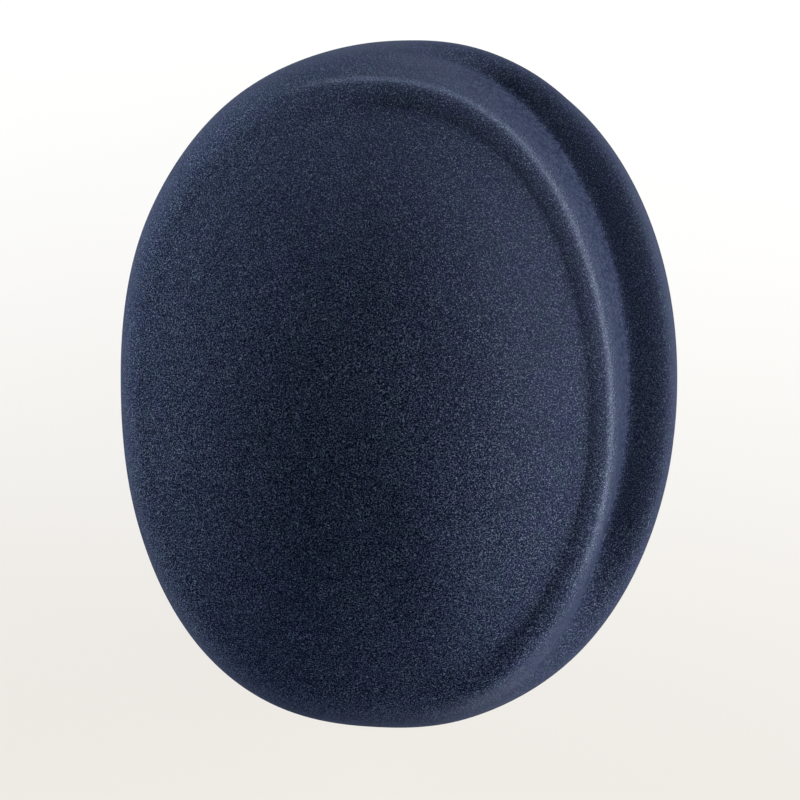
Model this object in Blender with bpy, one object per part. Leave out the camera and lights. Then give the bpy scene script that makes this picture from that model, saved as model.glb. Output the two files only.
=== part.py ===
"""A felt pillbox hat, blocked from one piece of felt in two tiers.

The lower tier is an upright oval band. The upper tier is a domed crown whose foot stands inside the band,
so that a level ledge shows between them. The ledge, and the rounded ridge and crease round the tip, are
sharp on one side of the hat. They fade out towards the front and the back, and the other side runs from
the band to the dome in one soft shoulder.

Metres, +Z up. The origin is the middle of the head opening, on the surface that the hat rests on.
+X is the side with the ledge, -Y is the front.
"""

import math

import bmesh
import bpy

# The band, outside the felt: its widest oval, and how far the rim stands inside it
BAND_WIDTH = 0.167
BAND_LENGTH = 0.207
BAND_FULLNESS = 2.1
PLAIN_FULLNESS = 2.25
RIM_INSET = 0.002

# How far the oval's ends lean sideways, the back towards +X and the front towards -X
END_LEAN = 0.0035

# The ledge: its height above the rim, its width at the side and at the ends, and the rounding of its edge
LEDGE_HEIGHT = 0.030
LEDGE_WIDTH_SIDE = 0.0135
LEDGE_WIDTH_END = 0.0050
LEDGE_ROUND_FRONT = 0.0044
LEDGE_ROUND_BACK = 0.0030

# The crown's wall above the ledge, and how far it leans in on its way up.
# At the side it leans out a little, because the ridge stands proud there.
WALL_HEIGHT = 0.038
WALL_LEAN_SIDE = -0.0008
WALL_LEAN_END = 0.0034
FOOT_FULLNESS = 2.0
FOOT_ROUND = 0.0022

# The rounded ridge round the crown's top, and the shallow crease between it and the dome
RIDGE_FULLNESS = 2.08
RIDGE_FORWARD = 0.0024
RIDGE_ROUND = 0.0065
CREASE_OFFSET_SIDE = 0.0083
CREASE_OFFSET_END = 0.0108
CREASE_RISE = 0.0002

# The dome's tip above the ridge
DOME_RISE = 0.019

FELT_WALL = 0.0022

# Where the middle of the ledge and of the ridge lies, and how far round each stays sharp, in degrees
# either side of that middle
LEDGE_DIRECTION = 16.0
LEDGE_FADE_FRONT = (46.0, 96.0)
LEDGE_FADE_BACK = (55.0, 82.0)
RIDGE_DIRECTION = 13.0
RIDGE_FADE = (68.0, 98.0)

# Worked out from the sizes above
FOOT_WIDTH = BAND_WIDTH - 2 * LEDGE_WIDTH_SIDE
FOOT_LENGTH = BAND_LENGTH - 2 * LEDGE_WIDTH_END
RIDGE_WIDTH = FOOT_WIDTH - 2 * WALL_LEAN_SIDE
RIDGE_LENGTH = FOOT_LENGTH - 2 * WALL_LEAN_END
RIM_WIDTH_SHARE = 1 - 2 * RIM_INSET / BAND_WIDTH
RIDGE_HEIGHT = LEDGE_HEIGHT + WALL_HEIGHT
TIP_HEIGHT = RIDGE_HEIGHT + DOME_RISE

COLUMNS_ROUND = 72

FELT_COLOUR = (0.017, 0.023, 0.045, 1.0)
FELT_ROUGHNESS = 0.95

# The dome inside the crease: share of the crease's radius, then the share of the rise from the crease
# to the tip, on the step's side and on the plain side.
# The last one lies above the tip, because the curve runs a little below it.
DOME_ROWS = (
    (0.92, 0.18, 0.19),
    (0.76, 0.53, 0.475),
    (0.54, 0.82, 0.77),
    (0.28, 0.96, 0.96),
    (0.0, 1.02, 1.02),
)


def side_rows(edge, crease):
    """The profile's rows from the rim to the crease, for one rounding of the ledge's edge.

    On the step's side a row lies on one of three ovals or between two of them (0 the ridge, 1 the foot,
    2 the band), then moves outwards by an offset, at a height. On the plain side it lies at a share of
    the band's radius and a share of the tip's height.
    """
    ledge = LEDGE_HEIGHT
    ridge = RIDGE_HEIGHT
    crest = RIDGE_ROUND
    return (
        # name, fade, (level, offset, height), (share of radius, share of height), cuts
        ("rim", "ledge", (2, -RIM_INSET, 0.0), (RIM_WIDTH_SHARE, 0.0), 1),
        ("rim_upright", "ledge", (2, -RIM_INSET, 0.15 * ledge), (RIM_WIDTH_SHARE, 0.052), 1),
        ("band_low", "ledge", (2, -RIM_INSET, 0.35 * ledge), (RIM_WIDTH_SHARE, 0.124), 1),
        ("band", "ledge", (2, 0.0, ledge - 2.2 * edge), (1.0, 0.248), 2),
        ("band_top", "ledge", (2, 0.08 * edge, ledge - edge), (1.0, 0.329), 2),
        ("shoulder", "ledge", (2, -0.22 * edge, ledge - 0.22 * edge), (0.997, 0.396), 2),
        ("ledge_edge", "ledge", (2, -edge, ledge + 0.05 * edge), (0.990, 0.453), 2),
        ("ledge", "ledge", (1.25, 0.0, ledge), (0.981, 0.506), 2),
        ("foot", "ledge", (1, 0.0, ledge), (0.970, 0.549), 2),
        ("wall_foot", "ledge", (0.95, 0.0, ledge + FOOT_ROUND), (0.956, 0.587), 2),
        ("wall", "ledge", (0.5, 0.0, 0.5 * (ledge + ridge)), (0.939, 0.625), 2),
        ("ridge_foot", "ridge", (0, 0.06 * crest, ridge - crest), (0.920, 0.658), 2),
        ("crest_outer", "ridge", (0, -0.2 * crest, ridge - 0.26 * crest), (0.900, 0.689), 2),
        ("crest", "ridge", (0, -0.8 * crest, ridge - 0.03 * crest), (0.875, 0.718), 2),
        ("crest_inner", "ridge", (0, -0.84 * crease, ridge), (0.845, 0.746), 2),
        ("crease", "ridge", (0, -crease, ridge + CREASE_RISE), (0.800, 0.769), 2),
    )


def oval_radius(angle, width, length, fullness):
    """Distance from the middle to a rounded oval, squarer than an ellipse where fullness is over 2."""
    across = abs(math.cos(angle)) / (width / 2)
    along = abs(math.sin(angle)) / (length / 2)
    return (across**fullness + along**fullness) ** (-1 / fullness)


def turn_from(direction, angle):
    """Degrees round the hat from a direction, below 0 towards the front and above 0 towards the back."""
    return (math.degrees(angle) - direction + 180) % 360 - 180


def fade(turn, limits_front, limits_back):
    """1 at the middle of the ledge or ridge, 0 on the plain side, smooth between a side's two limits."""
    start, end = limits_front if turn < 0 else limits_back
    share = min(max((abs(turn) - start) / (end - start), 0.0), 1.0)
    return 1 - share * share * (3 - 2 * share)


def mix(start, end, share):
    return start + (end - start) * share


def control_points(angle):
    """The profile's control points at one angle, rim to tip, as (distance out, height)."""
    ridge = oval_radius(angle, RIDGE_WIDTH, RIDGE_LENGTH, RIDGE_FULLNESS)
    ovals = (
        ridge - RIDGE_FORWARD * math.sin(angle),
        oval_radius(angle, FOOT_WIDTH, FOOT_LENGTH, FOOT_FULLNESS),
        oval_radius(angle, BAND_WIDTH, BAND_LENGTH, BAND_FULLNESS),
    )
    plain_band = oval_radius(angle, BAND_WIDTH, BAND_LENGTH, PLAIN_FULLNESS)
    edge = mix(LEDGE_ROUND_FRONT, LEDGE_ROUND_BACK, (1 + math.sin(angle)) / 2)
    ledge_turn = turn_from(LEDGE_DIRECTION, angle)
    ridge_turn = turn_from(RIDGE_DIRECTION, angle)
    crease = mix(CREASE_OFFSET_SIDE, CREASE_OFFSET_END, min(abs(ridge_turn) / 80, 1.0) ** 2)
    weights = {
        "ledge": fade(ledge_turn, LEDGE_FADE_FRONT, LEDGE_FADE_BACK),
        "ridge": fade(ridge_turn, RIDGE_FADE, RIDGE_FADE),
    }
    points = []
    for _, kind, (level, offset, height), (out_share, height_share), _ in side_rows(edge, crease):
        lower = min(int(level), 1)
        step_out = mix(ovals[lower], ovals[lower + 1], level - lower) + offset
        weight = weights[kind]
        out = mix(out_share * plain_band, step_out, weight)
        points.append((out, mix(height_share * TIP_HEIGHT, height, weight)))
    crease_out, crease_height = points[-1]
    for share, step_rise, plain_rise in DOME_ROWS:
        rise = mix(plain_rise, step_rise, weights["ridge"])
        points.append((share * crease_out, mix(crease_height, TIP_HEIGHT, rise)))
    return points


def spline_point(four, t):
    """A point on a uniform cubic B-spline span."""
    a = (1 - t) ** 3 / 6
    b = (3 * t**3 - 6 * t**2 + 4) / 6
    c = (-3 * t**3 + 3 * t**2 + 3 * t + 1) / 6
    d = t**3 / 6
    return tuple(a * p + b * q + c * r + d * s for p, q, r, s in zip(*four))


def profile(angle):
    """The outer skin's section at one angle, from the rim up to the tip."""
    points = control_points(angle)
    first, second, last = points[0], points[1], points[-2]
    below = tuple(2 * a - b for a, b in zip(first, second))
    beyond = (-last[0], last[1])
    path = [below, *points, beyond]
    cuts = [row[-1] for row in side_rows(0.0, 0.0)] + [2] * (len(DOME_ROWS) - 1)
    section = []
    for span, count in enumerate(cuts):
        four = path[span : span + 4]
        section += [spline_point(four, step / count) for step in range(count)]
    section.append(spline_point(path[-3:] + [beyond], 0.0))
    return section


def leaned(x, y, z):
    """Moves the ends of the oval sideways: the back towards +X, the front towards -X."""
    return x + END_LEAN * (2 * y / BAND_LENGTH) ** 3, y, z


def skin_mesh():
    """The outer skin as a grid of quads, closed by a fan at the tip and open at the rim."""
    mesh = bmesh.new()
    angles = [2 * math.pi * column / COLUMNS_ROUND for column in range(COLUMNS_ROUND)]
    sections = [profile(angle) for angle in angles]
    rings = [
        [
            mesh.verts.new(leaned(out * math.cos(angle), out * math.sin(angle), height))
            for angle, (out, height) in zip(angles, row)
        ]
        for row in list(zip(*sections))[:-1]
    ]
    tip = mesh.verts.new((0, 0, sections[0][-1][1]))
    for lower, upper in zip(rings, rings[1:]):
        for column in range(COLUMNS_ROUND):
            following = (column + 1) % COLUMNS_ROUND
            mesh.faces.new((lower[column], lower[following], upper[following], upper[column]))
    for column in range(COLUMNS_ROUND):
        mesh.faces.new((rings[-1][column], rings[-1][(column + 1) % COLUMNS_ROUND], tip))
    data = bpy.data.meshes.new("felt_body")
    mesh.to_mesh(data)
    mesh.free()
    return data


def felt_material():
    material = bpy.data.materials.new("navy_felt")
    material.use_nodes = True
    shader = material.node_tree.nodes["Principled BSDF"]
    shader.inputs["Base Color"].default_value = FELT_COLOUR
    shader.inputs["Roughness"].default_value = FELT_ROUGHNESS
    shader.inputs["Metallic"].default_value = 0.0
    return material


def felt_body():
    """The whole hat: the outer skin thickened inwards by the felt wall."""
    data = skin_mesh()
    data.materials.append(felt_material())
    data.shade_smooth()
    body = bpy.data.objects.new("felt_body", data)
    bpy.context.scene.collection.objects.link(body)
    wall = body.modifiers.new("felt_wall", "SOLIDIFY")
    wall.thickness = FELT_WALL
    wall.offset = -1.0
    wall.use_even_offset = True
    return body


def main():
    for obj in list(bpy.data.objects):
        bpy.data.objects.remove(obj)
    felt_body()


main()
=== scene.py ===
import math

import bmesh
import bpy
from mathutils import Matrix, Vector, noise


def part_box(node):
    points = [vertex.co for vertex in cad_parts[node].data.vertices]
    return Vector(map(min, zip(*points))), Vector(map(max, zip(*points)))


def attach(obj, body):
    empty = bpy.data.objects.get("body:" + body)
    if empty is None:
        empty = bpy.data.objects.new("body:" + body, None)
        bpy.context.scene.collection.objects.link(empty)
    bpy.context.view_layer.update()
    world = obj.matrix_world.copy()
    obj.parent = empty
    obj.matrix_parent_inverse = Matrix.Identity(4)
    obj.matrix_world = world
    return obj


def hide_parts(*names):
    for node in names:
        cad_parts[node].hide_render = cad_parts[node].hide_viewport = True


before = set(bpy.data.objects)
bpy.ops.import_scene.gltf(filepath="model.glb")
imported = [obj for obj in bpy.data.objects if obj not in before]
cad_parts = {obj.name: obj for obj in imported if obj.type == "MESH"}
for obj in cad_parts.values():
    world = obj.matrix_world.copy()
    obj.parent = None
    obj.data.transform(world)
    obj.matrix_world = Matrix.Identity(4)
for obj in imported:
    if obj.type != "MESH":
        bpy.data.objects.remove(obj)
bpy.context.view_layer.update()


# The hat's own sizes, in metres. Its outer width, length and height come from the felt_body part in
# model.glb.
hat = {
    "bandFullness": 2.1,  # 2 is an ellipse, more is squarer
    "plainFullness": 2.25,
    "rimInset": 0.002,
    "endLean": 0.0035,  # the back end leans to +X, the front end to -X
    "ledgeHeight": 0.030,
    "ledgeWidthSide": 0.0135,
    "ledgeWidthEnd": 0.0050,
    "ledgeRoundFront": 0.0044,
    "ledgeRoundBack": 0.0030,
    "wallHeight": 0.038,
    "wallLeanSide": -0.0008,
    "wallLeanEnd": 0.0034,
    "footFullness": 2.0,
    "footRound": 0.0022,
    "ridgeFullness": 2.08,
    "ridgeForward": 0.0024,
    "ridgeRound": 0.0065,
    "creaseOffsetSide": 0.0083,
    "creaseOffsetEnd": 0.0108,
    "creaseTurn": 80.0,  # degrees round from the ridge's middle to where the end's offset holds
    "creaseRise": 0.0002,
    "feltWall": 0.0022,
    "ledgeDirection": 16.0,  # degrees from +X towards +Y
    "ledgeFadeFront": (46.0, 96.0),  # degrees from that direction towards the front
    "ledgeFadeBack": (55.0, 82.0),
    "ridgeDirection": 13.0,
    "ridgeFade": (68.0, 98.0),
    "columns": 320,
    "cutsInRow": 6,
    "cutsInDome": 10,
    "highlightRow": 11.9,  # painted highlight: the pale line along the ridge's crest, counted in rows of the profile
    "highlightWidth": 0.30,
    "highlightDirection": 32.0,
    "highlightFade": (60.0, 82.0),
    "pressedShadedFrom": (6.0, 8.5),  # the wall, counted in rows, is pressed smooth and darkened with painted shade
    "pressedShadedTo": (10.2, 11.8),
    "napRows": (16.0, 20.0),  # from the crown's edge to its middle, where the nap is 1
    "sheenDirection": 40.0,  # painted sheen: outside the middle, the grain is evened out most towards here, where the light falls
    "litSideNap": 0.50,
    "shadedSideNap": 1.20,  # and the grain is strongest on the side across from it, away from the light
    "napBand": 0.36,  # the band is brushed flatter still, and this fades out over these rows
    "napRowsPlain": (6.0, 13.0),
    "napRowsStep": (4.0, 6.5),
    "unevenness": 0.00035,  # how far the hand-blocked skin wanders
    "unevenSize": 0.035,
    "unevenSeed": 7,  # without one, the skin would wander differently in each run
    "levelRim": 0.02,  # the rim itself is level, and the wandering sets in up to this height
}


def hatSizes(settings):
    low, high = (Vector(corner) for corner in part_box("felt_body"))
    sizes = dict(settings)
    sizes["bandWidth"] = high.x - low.x
    sizes["bandLength"] = high.y - low.y
    sizes["tipHeight"] = high.z
    sizes["ridgeHeight"] = sizes["ledgeHeight"] + sizes["wallHeight"]
    sizes["footWidth"] = sizes["bandWidth"] - 2 * sizes["ledgeWidthSide"]
    sizes["footLength"] = sizes["bandLength"] - 2 * sizes["ledgeWidthEnd"]
    sizes["ridgeWidth"] = sizes["footWidth"] - 2 * sizes["wallLeanSide"]
    sizes["ridgeLength"] = sizes["footLength"] - 2 * sizes["wallLeanEnd"]
    sizes["rimShare"] = 1 - 2 * sizes["rimInset"] / sizes["bandWidth"]
    return sizes


# Each row of the felt's profile, rim to crease, for one rounding of the ledge's edge and one crease offset.
# Step side: oval level (0 ridge, 1 foot, 2 band), moved outwards, height.
# Plain side: share of the band's radius, share of the tip's height.
def sideRows(sizes, edge, crease):
    inset = sizes["rimInset"]
    ledge = sizes["ledgeHeight"]
    ridge = sizes["ridgeHeight"]
    crest = sizes["ridgeRound"]
    middle = (ledge + ridge) / 2
    rimShare = sizes["rimShare"]
    return [
        ("ledge", (2, -inset, 0.0), (rimShare, 0.0)),  # rim
        ("ledge", (2, -inset, 0.15 * ledge), (rimShare, 0.052)),
        ("ledge", (2, -inset, 0.35 * ledge), (rimShare, 0.124)),
        ("ledge", (2, 0.0, ledge - 2.2 * edge), (1.0, 0.248)),  # band
        ("ledge", (2, 0.08 * edge, ledge - edge), (1.0, 0.329)),
        ("ledge", (2, -0.22 * edge, ledge - 0.22 * edge), (0.997, 0.396)),  # the ledge's edge
        ("ledge", (2, -edge, ledge + 0.05 * edge), (0.990, 0.453)),
        ("ledge", (1.25, 0.0, ledge), (0.981, 0.506)),  # ledge
        ("ledge", (1, 0.0, ledge), (0.970, 0.549)),  # crease at the foot of the wall
        ("ledge", (0.95, 0.0, ledge + sizes["footRound"]), (0.956, 0.587)),
        ("ledge", (0.5, 0.0, middle), (0.939, 0.625)),  # wall
        ("ridge", (0, 0.06 * crest, ridge - crest), (0.920, 0.658)),
        ("ridge", (0, -0.2 * crest, ridge - 0.26 * crest), (0.900, 0.689)),  # ridge
        ("ridge", (0, -0.8 * crest, ridge - 0.03 * crest), (0.875, 0.718)),
        ("ridge", (0, -0.84 * crease, ridge), (0.845, 0.746)),
        ("ridge", (0, -crease, ridge + sizes["creaseRise"]), (0.800, 0.769)),  # crease
    ]


# The dome inside the crease: share of the crease's radius, share of the rise to the tip on the step side
# and on the plain side.
domeRows = [
    (0.92, 0.18, 0.19),
    (0.76, 0.53, 0.475),
    (0.54, 0.82, 0.77),
    (0.28, 0.96, 0.96),
    (0.0, 1.02, 1.02),  # just above the tip, because the curve runs a little below its points
]


def ovalRadius(angle, width, length, fullness):
    across = abs(math.cos(angle)) / (width / 2)
    along = abs(math.sin(angle)) / (length / 2)
    return (across**fullness + along**fullness) ** (-1 / fullness)


def between(start, end, share):
    return start + (end - start) * share


def turnFrom(angle, middle):  # degrees round the hat, the same either way
    return abs((math.degrees(angle) - middle + 180) % 360 - 180)


def fadeOut(turn, limits):  # 1 at the ledge or ridge, 0 on the plain side
    share = min(max((turn - limits[0]) / (limits[1] - limits[0]), 0.0), 1.0)
    return 1 - share * share * (3 - 2 * share)


def ledgeAt(sizes, angle):  # how much of the ledge there is, 0 to 1
    towardsFront = (math.degrees(angle) - sizes["ledgeDirection"]) % 360 > 180
    limits = sizes["ledgeFadeFront"] if towardsFront else sizes["ledgeFadeBack"]
    return fadeOut(turnFrom(angle, sizes["ledgeDirection"]), limits)


def profilePoints(sizes, angle):
    ridgeOval = ovalRadius(angle, sizes["ridgeWidth"], sizes["ridgeLength"], sizes["ridgeFullness"])
    ovals = [
        ridgeOval - sizes["ridgeForward"] * math.sin(angle),
        ovalRadius(angle, sizes["footWidth"], sizes["footLength"], sizes["footFullness"]),
        ovalRadius(angle, sizes["bandWidth"], sizes["bandLength"], sizes["bandFullness"]),
    ]
    plainBand = ovalRadius(angle, sizes["bandWidth"], sizes["bandLength"], sizes["plainFullness"])
    edge = between(sizes["ledgeRoundFront"], sizes["ledgeRoundBack"], (1 + math.sin(angle)) / 2)
    ridgeTurn = turnFrom(angle, sizes["ridgeDirection"])
    creaseShare = min(ridgeTurn / sizes["creaseTurn"], 1.0) ** 2
    crease = between(sizes["creaseOffsetSide"], sizes["creaseOffsetEnd"], creaseShare)
    weights = {"ledge": ledgeAt(sizes, angle), "ridge": fadeOut(ridgeTurn, sizes["ridgeFade"])}
    points = []
    for kind, (level, outwards, height), (radiusShare, heightShare) in sideRows(sizes, edge, crease):
        lower = min(int(level), 1)
        stepOut = between(ovals[lower], ovals[lower + 1], level - lower) + outwards
        out = between(radiusShare * plainBand, stepOut, weights[kind])
        points.append((out, between(heightShare * sizes["tipHeight"], height, weights[kind])))
    creaseOut, creaseHeight = points[-1]
    for share, stepRise, plainRise in domeRows:
        rise = between(plainRise, stepRise, weights["ridge"])
        points.append((share * creaseOut, between(creaseHeight, sizes["tipHeight"], rise)))
    return points


def splinePoint(four, t):  # one point of a smooth curve guided by four points
    weights = ((1 - t) ** 3, 3 * t**3 - 6 * t**2 + 4, -3 * t**3 + 3 * t**2 + 3 * t + 1, t**3)
    return tuple(sum(w * v for w, v in zip(weights, values)) / 6 for values in zip(*four))


def outerSection(sizes, angle):
    points = profilePoints(sizes, angle)
    below = tuple(2 * a - b for a, b in zip(points[0], points[1]))
    beyond = (-points[-2][0], points[-2][1])
    path = [below, *points, beyond]
    section = []  # out, height, and how far along the rows the point lies
    for span in range(len(points) - 1):
        cuts = sizes["cutsInRow"] if span < len(points) - len(domeRows) else sizes["cutsInDome"]
        for step in range(cuts):
            section.append((*splinePoint(path[span : span + 4], step / cuts), span + step / cuts))
    section.append((*splinePoint(path[-3:] + [beyond], 0.0), len(points) - 1.0))
    return section


# Painted highlight along the ridge's outer roll, where the light catches the crest, 0 to 1
def crestHighlightAt(sizes, angle, along):
    fade = fadeOut(turnFrom(angle, sizes["highlightDirection"]), sizes["highlightFade"])
    return fade * math.exp(-(((along - sizes["highlightRow"]) / sizes["highlightWidth"]) ** 2))


# How smooth the wall above the ledge is pressed, and how much painted shade darkens it, 0 to 1
def pressedAndShadedAt(sizes, angle, along):
    wall = fadeOut(along, sizes["pressedShadedTo"]) - fadeOut(along, sizes["pressedShadedFrom"])
    return wall * ledgeAt(sizes, angle)


# How far the wool's fibres stand up, against the middle of the crown; outside the middle this is partly
# painted sheen, the grain evened out on the side the light falls on
def napAndSheenAt(sizes, angle, along):
    flattened = (1 + math.cos(angle - math.radians(sizes["sheenDirection"]))) / 2
    outside = between(sizes["shadedSideNap"], sizes["litSideNap"], flattened)
    plain, step = fadeOut(along, sizes["napRowsPlain"]), fadeOut(along, sizes["napRowsStep"])
    outside = outside * between(1.0, sizes["napBand"], between(plain, step, ledgeAt(sizes, angle)))
    return between(1.0, outside, fadeOut(along, sizes["napRows"]))


def placed(sizes, angle, out, height):
    x, y = out * math.cos(angle), out * math.sin(angle)
    spot = Vector((x + sizes["endLean"] * (2 * y / sizes["bandLength"]) ** 3, y, height))
    drift = noise.noise_vector(spot / sizes["unevenSize"]) * sizes["unevenness"]
    return spot + drift * min(height / sizes["levelRim"], 1.0)


def buildFelt(sizes):
    noise.seed_set(sizes["unevenSeed"])
    angles = [2 * math.pi * column / sizes["columns"] for column in range(sizes["columns"])]
    sections = [outerSection(sizes, angle) for angle in angles]
    mesh = bmesh.new()
    rings = []
    felting = {"paintedHighlight": crestHighlightAt, "pressedAndShaded": pressedAndShadedAt, "napAndSheen": napAndSheenAt}
    values = {name: [] for name in felting}
    for row in list(zip(*sections))[:-1]:
        spots = [placed(sizes, angle, out, height) for angle, (out, height, _) in zip(angles, row)]
        rings.append([mesh.verts.new(spot) for spot in spots])
        for name, rule in felting.items():
            values[name] += [rule(sizes, angle, along) for angle, (_, _, along) in zip(angles, row)]
    tip = mesh.verts.new(placed(sizes, 0.0, 0.0, sections[0][-1][1]))
    count = sizes["columns"]
    for lower, upper in zip(rings, rings[1:]):
        for here in range(count):
            after = (here + 1) % count
            mesh.faces.new((lower[here], lower[after], upper[after], upper[here]))
    for here in range(count):
        mesh.faces.new((rings[-1][here], rings[-1][(here + 1) % count], tip))
    data = bpy.data.meshes.new("feltSkin")
    mesh.to_mesh(data)
    mesh.free()
    for name, rule in felting.items():
        tipValue = rule(sizes, 0.0, sections[0][-1][2])
        data.attributes.new(name, "FLOAT", "POINT").data.foreach_set("value", values[name] + [tipValue])
    data.shade_smooth()
    felt = bpy.data.objects.new("pressedFelt", data)
    bpy.context.scene.collection.objects.link(felt)
    wall = felt.modifiers.new("wall", "SOLIDIFY")
    wall.thickness = sizes["feltWall"]
    wall.offset = -1.0
    wall.use_even_offset = True
    return felt


# One socket with Python's operators, so that shader maths reads as maths.
class Wire:
    def __init__(self, tree, socket=None):
        self.tree = tree
        self.socket = socket

    def node(self, kind, settings, sockets, output=0):
        made = self.tree.nodes.new(kind)
        for name, value in settings.items():
            setattr(made, name, value)
        for name, value in sockets.items():
            if isinstance(value, Wire):
                self.tree.links.new(value.socket, made.inputs[name])
            else:
                made.inputs[name].default_value = value
        return Wire(self.tree, made.outputs[output])

    def maths(self, operation, first, second):
        return self.node("ShaderNodeMath", {"operation": operation}, {0: first, 1: second})

    def __add__(self, other):
        return self.maths("ADD", self, other)

    def __radd__(self, other):
        return self.maths("ADD", other, self)

    def __sub__(self, other):
        return self.maths("SUBTRACT", self, other)

    def __rsub__(self, other):
        return self.maths("SUBTRACT", other, self)

    def __mul__(self, other):
        return self.maths("MULTIPLY", self, other)

    def __rmul__(self, other):
        return self.maths("MULTIPLY", other, self)

    def colours(self, low, high):  # this mask chooses between two colours
        return self.node("ShaderNodeMix", {"data_type": "RGBA"}, {0: self, 6: low, 7: high}, 2)

    def span(self, low, high):  # 0 at low, 1 at high, smooth between
        limits = {"Value": self, "From Min": low, "From Max": high}
        return self.node("ShaderNodeMapRange", {"interpolation_type": "SMOOTHSTEP"}, limits)


wool = {
    "darkWool": (0.0005, 0.0012, 0.0052, 1.0),
    "midWool": (0.0055, 0.0094, 0.0275, 1.0),
    "paleWool": (0.116, 0.150, 0.200, 1.0),
    "violetWool": (0.120, 0.138, 0.215, 1.0),  # where the dye took a little warmer
    # the colour of the painted highlight along the ridge's crest
    "highlightWool": (0.088, 0.109, 0.160, 1.0),
    "grainSize": 0.00039,  # metres
    "paleGrain": (0.46, 0.74),  # how strong the grain is where pale fibre starts, and where it is palest
    "darkGrain": (0.34, 0.58),  # the same for the dark ground
    "fibreSize": 0.0011,
    "fibreWidth": 0.16,  # share of the fibre size
    "fibreShare": 0.6,  # how much of the pale wool lies in the fibres
    "curlSize": 0.0013,
    "curl": 0.0009,
    "mottleSize": 0.011,
    "mottling": 0.5,
    "dyeSize": 0.005,
    "dyePatches": (0.42, 0.62),
    "meanFleck": 0.10,  # what the felt shows of the pale wool where its grain is evened out, by flat nap or painted sheen
    "paintedWallShade": 0.45,  # painted shade: how much of the pale wool the wall above the ledge loses, so that it reads darker
    "tuftSize": 0.0014,
    "tuftDrawing": 0.3,  # heights count only this much, so tufts are drawn out up the wall
    "tufting": 0.24,
    "tufted": (0.5, 1.0),  # how hard the felt is pressed where tufts begin, and where they are full
    # how strong the painted highlight along the ridge's crest is
    "paintedHighlight": 0.56,
    "highlightSolid": 0.35,  # the share of the painted highlight that doesn't follow the fibres
    "highlightFlecks": (0.0, 0.4),
    "bumpHeight": 0.00022,
    "bumpStrength": 0.14,
    "bumpGrain": 0.7,  # the grain's share of the bump, and the fibres have the rest
    "roughness": 0.95,
    "specular": 0.02,
    "sheen": 0.03,
    "sheenRoughness": 0.45,
    "sheenTint": (0.50, 0.60, 0.90, 1.0),
}


def feltMaterial(settings):
    material = bpy.data.materials.new("navyWoolFelt")
    material.use_nodes = True
    tree = material.node_tree
    shader = tree.nodes["Principled BSDF"]
    wire = Wire(tree)
    place = wire.node("ShaderNodeTexCoord", {}, {}, "Object")

    def cloud(size, detail, spot, output=0):
        sockets = {"Vector": spot, "Scale": 1 / size, "Detail": detail, "Roughness": 0.6}
        return wire.node("ShaderNodeTexNoise", {}, sockets, output)

    def vector(operation, first, second):
        return wire.node("ShaderNodeVectorMath", {"operation": operation}, {0: first, 1: second})

    def felting(name):  # what buildFelt wrote on the mesh
        return wire.node("ShaderNodeAttribute", {"attribute_name": name}, {}, "Fac")

    # short curled fibres: the borders of small cells, with the cells pushed about
    push = vector("SUBTRACT", cloud(settings["curlSize"], 1.0, place, "Color"), (0.5, 0.5, 0.5))
    curled = vector("ADD", place, vector("MULTIPLY", push, (settings["curl"],) * 3))
    cells = {"Vector": curled, "Scale": 1 / settings["fibreSize"]}
    border = wire.node("ShaderNodeTexVoronoi", {"feature": "DISTANCE_TO_EDGE"}, cells, "Distance")
    fibre = 1 - border.span(0.0, settings["fibreWidth"])

    # how much pale wool shows; its grain is evened out where the nap lies flat and where sheen is painted
    # on the lit side
    grain = cloud(settings["grainSize"], 2.0, place)
    mottle = 1 + (cloud(settings["mottleSize"], 3.0, place) - 0.5) * settings["mottling"]
    napAndSheen, pressedAndShaded, highlightMask = felting("napAndSheen"), felting("pressedAndShaded"), felting("paintedHighlight")
    fibrous = (1 - settings["fibreShare"]) + settings["fibreShare"] * fibre
    flecks = grain.span(*settings["paleGrain"]) * fibrous * mottle
    lit = settings["meanFleck"] + (flecks - settings["meanFleck"]) * napAndSheen
    # painted shade: the wall above the ledge is darkened
    lit = lit * (1 - settings["paintedWallShade"] * pressedAndShaded)

    # small tufts on the pressed wall
    drawn = vector("MULTIPLY", place, (1.0, 1.0, settings["tuftDrawing"]))
    tufts = cloud(settings["tuftSize"], 2.0, drawn) - 0.5
    lit = lit + tufts * settings["tufting"] * pressedAndShaded.span(*settings["tufted"])

    depth = 0.5 + (grain.span(*settings["darkGrain"]) - 0.5) * napAndSheen
    ground = depth.colours(settings["darkWool"], settings["midWool"])
    dye = cloud(settings["dyeSize"], 1.0, place).span(*settings["dyePatches"])
    colour = lit.colours(ground, dye.colours(settings["paleWool"], settings["violetWool"]))

    # painted highlight: a pale line along the ridge's crest, where the light catches it
    looseHighlight = (1 - settings["highlightSolid"]) * flecks.span(*settings["highlightFlecks"])
    highlightAmount = highlightMask * (settings["highlightSolid"] + looseHighlight) * settings["paintedHighlight"]
    colour = highlightAmount.colours(colour, settings["highlightWool"])
    tree.links.new(colour.socket, shader.inputs["Base Color"])

    height = grain * settings["bumpGrain"] + fibre * (1 - settings["bumpGrain"])
    bump = {"Strength": settings["bumpStrength"], "Distance": settings["bumpHeight"], "Height": height}
    normal = wire.node("ShaderNodeBump", {}, bump)
    tree.links.new(normal.socket, shader.inputs["Normal"])

    shader.inputs["Roughness"].default_value = settings["roughness"]
    shader.inputs["Specular IOR Level"].default_value = settings["specular"]
    shader.inputs["Sheen Weight"].default_value = settings["sheen"]
    shader.inputs["Sheen Roughness"].default_value = settings["sheenRoughness"]
    shader.inputs["Sheen Tint"].default_value = settings["sheenTint"]
    return material


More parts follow.
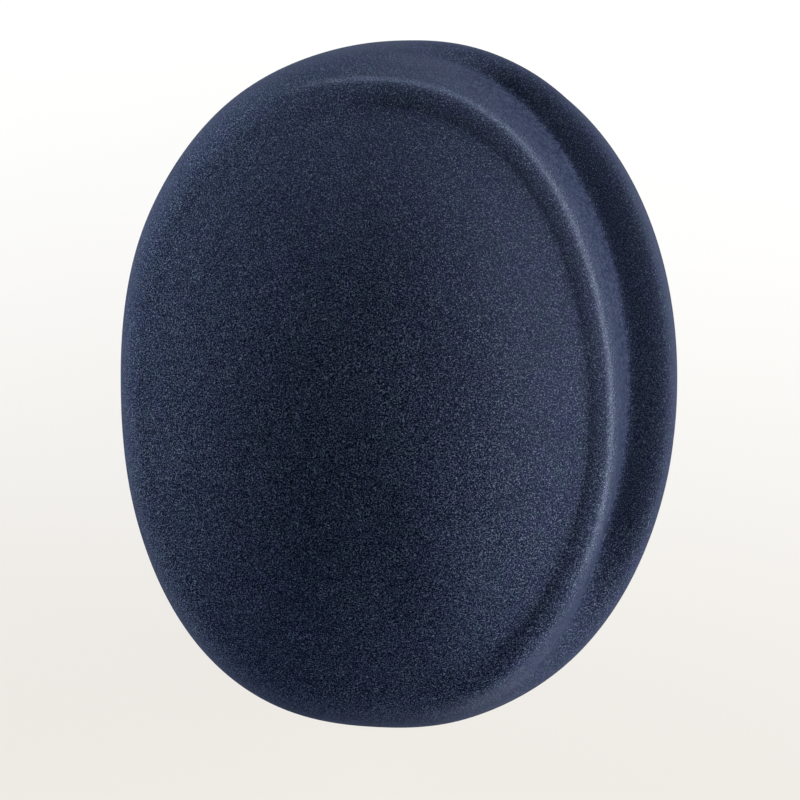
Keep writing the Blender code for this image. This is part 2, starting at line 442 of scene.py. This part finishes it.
sizes = hatSizes(hat)
felt = buildFelt(sizes)
felt.data.materials.append(feltMaterial(wool))
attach(felt, "root")
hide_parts("felt_body")
print("felt made,", len(felt.data.polygons), "faces before its wall")


floorSettings = {
    "half": 3.0,
    "backColour": (1.0, 1.0, 0.99, 1.0),  # towards +Y
    "frontColour": (0.83, 0.80, 0.755, 1.0),
    "matt": 0.06,  # how much of it only reflects light
    "glow": 0.97,  # the even light of a lit studio table
    "fadeFrom": -0.13,
    "fadeTo": 0.12,
    "roughness": 0.9,
    "specular": 0.1,
}


def buildFloor(settings):
    half = settings["half"]
    data = bpy.data.meshes.new("studioFloor")
    corners = [(-half, -half, 0), (half, -half, 0), (half, half, 0), (-half, half, 0)]
    data.from_pydata(corners, [], [(0, 1, 2, 3)])
    floor = bpy.data.objects.new("studioFloor", data)
    bpy.context.scene.collection.objects.link(floor)
    material = bpy.data.materials.new("paleFloor")
    material.use_nodes = True
    shader = material.node_tree.nodes["Principled BSDF"]
    wire = Wire(material.node_tree)
    place = wire.node("ShaderNodeTexCoord", {}, {}, "Object")
    along = wire.node("ShaderNodeSeparateXYZ", {}, {"Vector": place}, "Y")
    fade = along.span(settings["fadeFrom"], settings["fadeTo"])
    colour = fade.colours(settings["frontColour"], settings["backColour"])
    shader.inputs["Base Color"].default_value = (settings["matt"], settings["matt"], settings["matt"], 1.0)
    material.node_tree.links.new(colour.socket, shader.inputs["Emission Color"])
    shader.inputs["Emission Strength"].default_value = settings["glow"]
    shader.inputs["Roughness"].default_value = settings["roughness"]
    shader.inputs["Specular IOR Level"].default_value = settings["specular"]
    data.materials.append(material)


buildFloor(floorSettings)
print("floor made")


view = {
    "tilt": 12.0,  # degrees from straight down
    "towards": 25.0,  # degrees from +X towards +Y
    "distance": 0.918,
    "lens": 132.8,
    "sensor": 36.0,
    "seenFrom": 0.01,  # metres in front of the camera
    "seenTo": 50.0,
    "aim": (-0.0048, -0.0068),  # across and up the picture, from the origin
}


def buildCamera(settings):
    tilt, towards = math.radians(settings["tilt"]), math.radians(settings["towards"])
    flat = math.sin(tilt)
    back = Vector((flat * math.cos(towards), flat * math.sin(towards), math.cos(tilt)))
    up = Vector((0, 1, 0))
    up = (up - up.dot(back) * back).normalized()
    right = up.cross(back)
    place = back * settings["distance"]
    target = right * settings["aim"][0] + up * settings["aim"][1]
    backwards = (place - target).normalized()
    upwards = (up - up.dot(backwards) * backwards).normalized()
    turn = Matrix((upwards.cross(backwards), upwards, backwards)).transposed().to_4x4()
    data = bpy.data.cameras.new("studioCamera")
    data.lens = settings["lens"]
    data.sensor_width = settings["sensor"]
    data.clip_start = settings["seenFrom"]
    data.clip_end = settings["seenTo"]
    camera = bpy.data.objects.new("studioCamera", data)
    bpy.context.scene.collection.objects.link(camera)
    camera.matrix_world = Matrix.Translation(place) @ turn
    bpy.context.scene.camera = camera


buildCamera(view)
print("camera placed")


# Soft panels that face the hat: direction in degrees from +X towards +Y, height in degrees, distance,
# the panel's width and height, watts, colour.
panels = {
    "rightPanel": (5.0, 8.0, 1.3, 1.10, 0.24, 50.0, (1.0, 0.86, 0.78)),
    "highRightPanel": (5.0, 24.0, 1.3, 1.10, 0.30, 17.0, (0.83, 0.99, 1.0)),
    "frontPanel": (300.0, 16.0, 1.3, 0.50, 0.40, 11.0, (0.76, 0.86, 1.0)),
    "backPanel": (100.0, 7.0, 1.3, 0.50, 0.24, 11.5, (0.55, 0.76, 1.0)),
    "leftPanel": (150.0, 6.0, 1.3, 0.80, 0.24, 36.0, (1.0, 0.92, 0.80)),
    "lowLeftPanel": (185.0, 3.0, 1.3, 0.80, 0.16, 20.5, (0.58, 0.77, 1.0)),
}
ambient = {"colour": (1.0, 1.0, 1.0, 1.0), "strength": 0.002}


def buildLights(settings):
    for name, (direction, height, distance, width, tall, watts, colour) in settings.items():
        around, up = math.radians(direction), math.radians(height)
        towards = Vector((math.cos(up) * math.cos(around), math.cos(up) * math.sin(around), math.sin(up)))
        data = bpy.data.lights.new(name, "AREA")
        data.shape = "RECTANGLE"
        data.size = width
        data.size_y = tall
        data.energy = watts
        data.color = colour
        panel = bpy.data.objects.new(name, data)
        bpy.context.scene.collection.objects.link(panel)
        panel.location = towards * distance
        panel.rotation_euler = towards.to_track_quat("Z", "Y").to_euler()


def buildAir(settings):
    world = bpy.data.worlds.new("studioAir")
    world.use_nodes = True
    background = world.node_tree.nodes["Background"]
    background.inputs["Color"].default_value = settings["colour"]
    background.inputs["Strength"].default_value = settings["strength"]
    bpy.context.scene.world = world


buildLights(panels)
buildAir(ambient)
bpy.context.scene.view_settings.view_transform = "Standard"
print("lights set")
